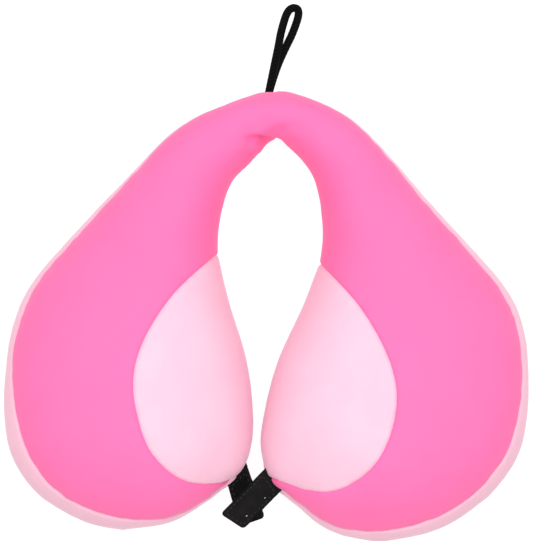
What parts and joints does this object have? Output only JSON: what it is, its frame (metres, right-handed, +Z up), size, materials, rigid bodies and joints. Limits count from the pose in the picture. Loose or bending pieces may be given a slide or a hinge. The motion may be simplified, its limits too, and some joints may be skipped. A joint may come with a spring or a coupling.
{
  "type": "u shaped neck pillow",
  "caption": "U-shaped stuffed neck pillow with two-tone stretch cover, teardrop inlays, crossed hook-and-loop front straps and a hanging loop.",
  "frame": {"origin": "on the floor under the middle of the pillow's outline", "axes": "+Z up from the surface it lies on, +Y towards the nape and the hanging loop, +X towards the lobe that carries the upper strap"},
  "size_m": [0.2914, 0.2978, 0.1057],
  "materials": {
    "magenta_knit": "matte",
    "pale_pink_knit": "matte",
    "liner_cloth": "matte",
    "loose_filling": "matte",
    "black_webbing": "matte",
    "black_pile": "matte",
    "black_hooks": "satin",
    "black_cord": "matte"
  },
  "bodies": {
    "nape": {"top_panel_nape": "magenta_knit", "bottom_panel_nape": "pale_pink_knit", "liner_nape": "liner_cloth", "filling_nape": "loose_filling", "loop_tail": "black_cord", "hanging_loop": "black_cord"},
    "arm_left": {"top_panel_left": "magenta_knit", "inlay_left": "pale_pink_knit", "bottom_panel_left": "pale_pink_knit", "liner_left": "liner_cloth", "filling_left": "loose_filling", "strap_tail_left": "black_webbing"},
    "arm_right": {"top_panel_right": "magenta_knit", "inlay_right": "pale_pink_knit", "bottom_panel_right": "pale_pink_knit", "liner_right": "liner_cloth", "filling_right": "loose_filling", "strap_tail_right": "black_webbing"},
    "strap_left": {"strap_webbing_left": "black_webbing", "loop_tape_left": "black_pile"},
    "strap_right": {"strap_webbing_right": "black_webbing", "hook_tape_right": "black_hooks"}
  },
  "joints": [
    {"name": "open_left_arm", "type": "hinge", "parent": "nape", "child": "arm_left", "pos_m": [-0.00933, 0.12172, 0.035], "axis": [0, 0, -1], "range_deg": [0, 35], "stiffness_Nm_per_rad": 0.4},
    {"name": "open_right_arm", "type": "hinge", "parent": "nape", "child": "arm_right", "pos_m": [0.01863, 0.12036, 0.035], "axis": [0, 0, 1], "range_deg": [0, 35], "stiffness_Nm_per_rad": 0.4},
    {"name": "drop_left_strap", "type": "hinge", "parent": "arm_left", "child": "strap_left", "pos_m": [-0.016, -0.0888, 0.0565], "axis": [0.7071, 0.7071, 0], "range_deg": [0, 40]},
    {"name": "lift_right_strap", "type": "hinge", "parent": "arm_right", "child": "strap_right", "pos_m": [0.0026, -0.0918, 0.0603], "axis": [-0.5787, 0.8155, 0], "range_deg": [0, 90]}
  ]
}
